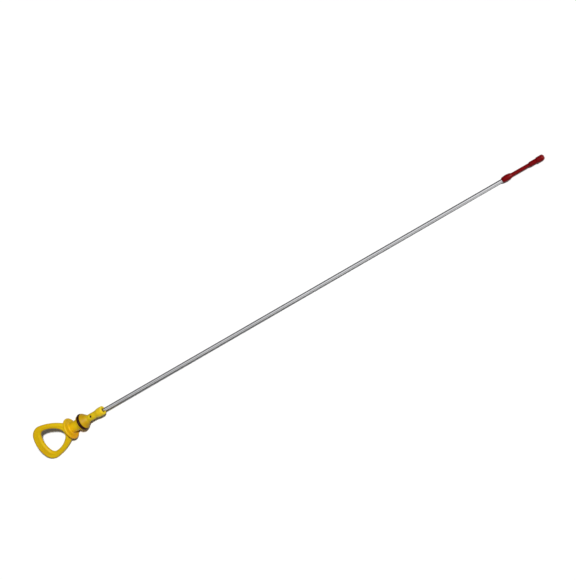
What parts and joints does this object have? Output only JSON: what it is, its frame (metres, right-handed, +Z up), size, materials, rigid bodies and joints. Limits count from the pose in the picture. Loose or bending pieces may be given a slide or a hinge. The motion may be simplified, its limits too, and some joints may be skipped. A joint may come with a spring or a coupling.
{
  "type": "engine oil dipstick",
  "caption": "Engine oil dipstick with a yellow finger loop and flange, rubber-sealed plug, long steel wire and a red stepped tip that carries the level marks.",
  "frame": {"origin": "on the surface it lies on, under the middle of its length and on the wire's line", "axes": "+X along the wire from the handle to the tip, +Z up from the surface"},
  "size_m": [0.586, 0.0314, 0.0234],
  "materials": {
    "handle_moulding": "satin moulded",
    "seal_rubber": "smooth, lightly oiled",
    "wire_steel": "bright drawn",
    "tip_moulding": "satin moulded"
  },
  "bodies": {
    "root": {"handle": "handle_moulding", "seal_ring": "seal_rubber", "rod": "wire_steel", "tip": "tip_moulding"}
  },
  "joints": []
}
